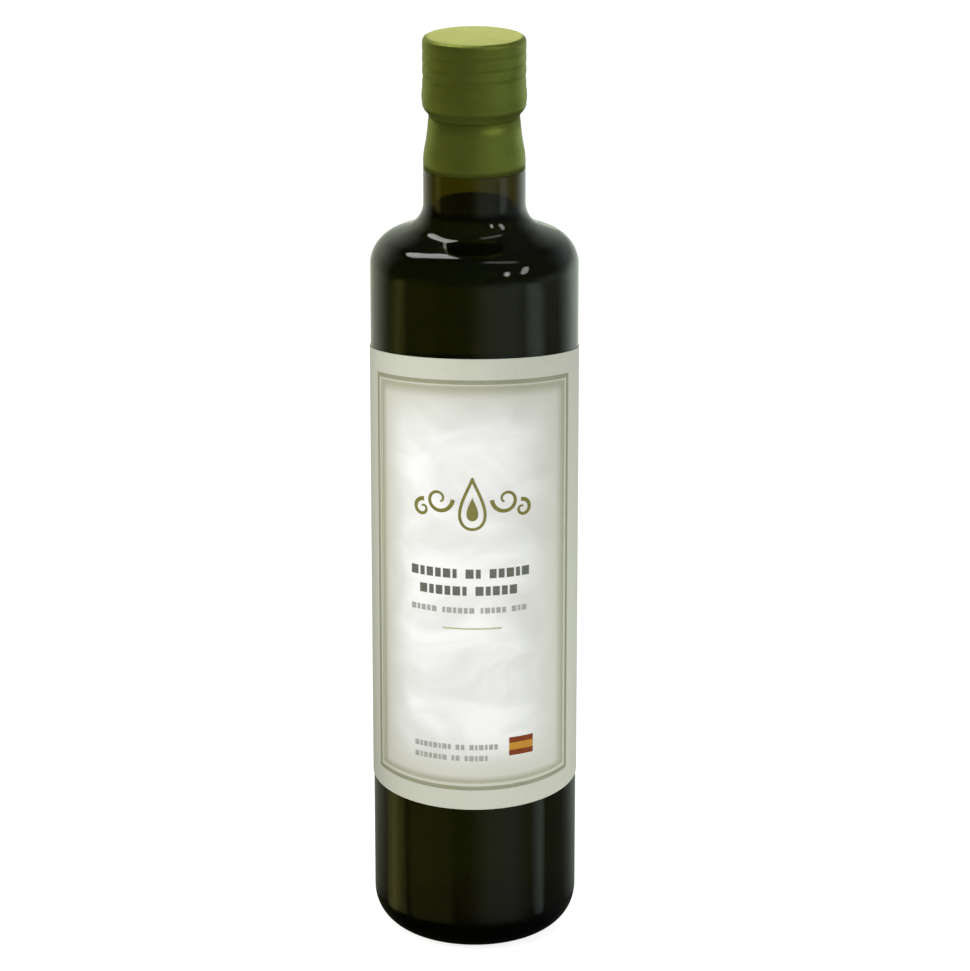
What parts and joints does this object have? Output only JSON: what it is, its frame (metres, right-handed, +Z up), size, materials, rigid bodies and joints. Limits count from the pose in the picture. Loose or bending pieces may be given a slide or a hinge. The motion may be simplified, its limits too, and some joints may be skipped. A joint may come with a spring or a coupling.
{
  "type": "olive oil bottle",
  "caption": "Tall round dark green glass bottle full of olive oil, shut by a long olive-green screw cap with a skirt, with a pale wrap-round label.",
  "frame": {"origin": "centre of the base, on the surface that the bottle stands on", "axes": "+Z up along the bottle's axis, -Y out through the middle of the label"},
  "size_m": [0.0636, 0.0633, 0.2844],
  "materials": {
    "glass": "polished",
    "oil": "clear liquid",
    "closure": "satin",
    "label": "satin paper"
  },
  "bodies": {
    "root": {"bottle": "glass", "oil": "oil", "closure_skirt": "closure", "cap": "closure", "label": "label"}
  },
  "joints": []
}
